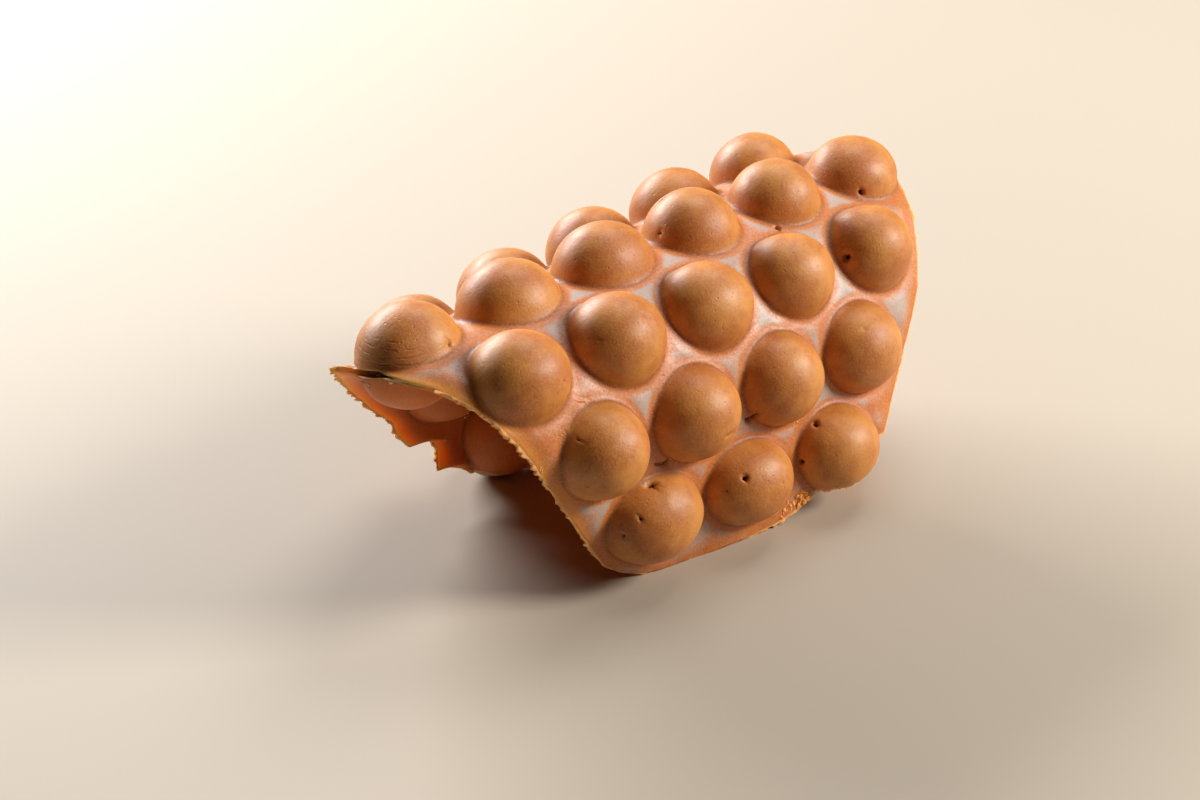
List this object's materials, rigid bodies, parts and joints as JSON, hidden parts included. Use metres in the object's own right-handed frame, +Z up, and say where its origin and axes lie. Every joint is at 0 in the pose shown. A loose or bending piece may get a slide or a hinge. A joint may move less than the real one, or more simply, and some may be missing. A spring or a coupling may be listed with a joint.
{
  "type": "bubble waffle",
  "caption": "Bubble waffle: a thin baked web covered in round hollow-looking bubbles, bent over a ridge so that it stands like a tent.",
  "frame": {"origin": "middle of the bounding box, on the surface that the waffle stands on", "axes": "+X along the ridge, from the torn end to the far end; +Z up; the better kept leg faces -Y"},
  "size_m": [0.2012, 0.1088, 0.0869],
  "materials": {
    "crust": "baked toffee-brown crust, half matte"
  },
  "bodies": {
    "root": {"waffle": "crust"}
  },
  "joints": []
}
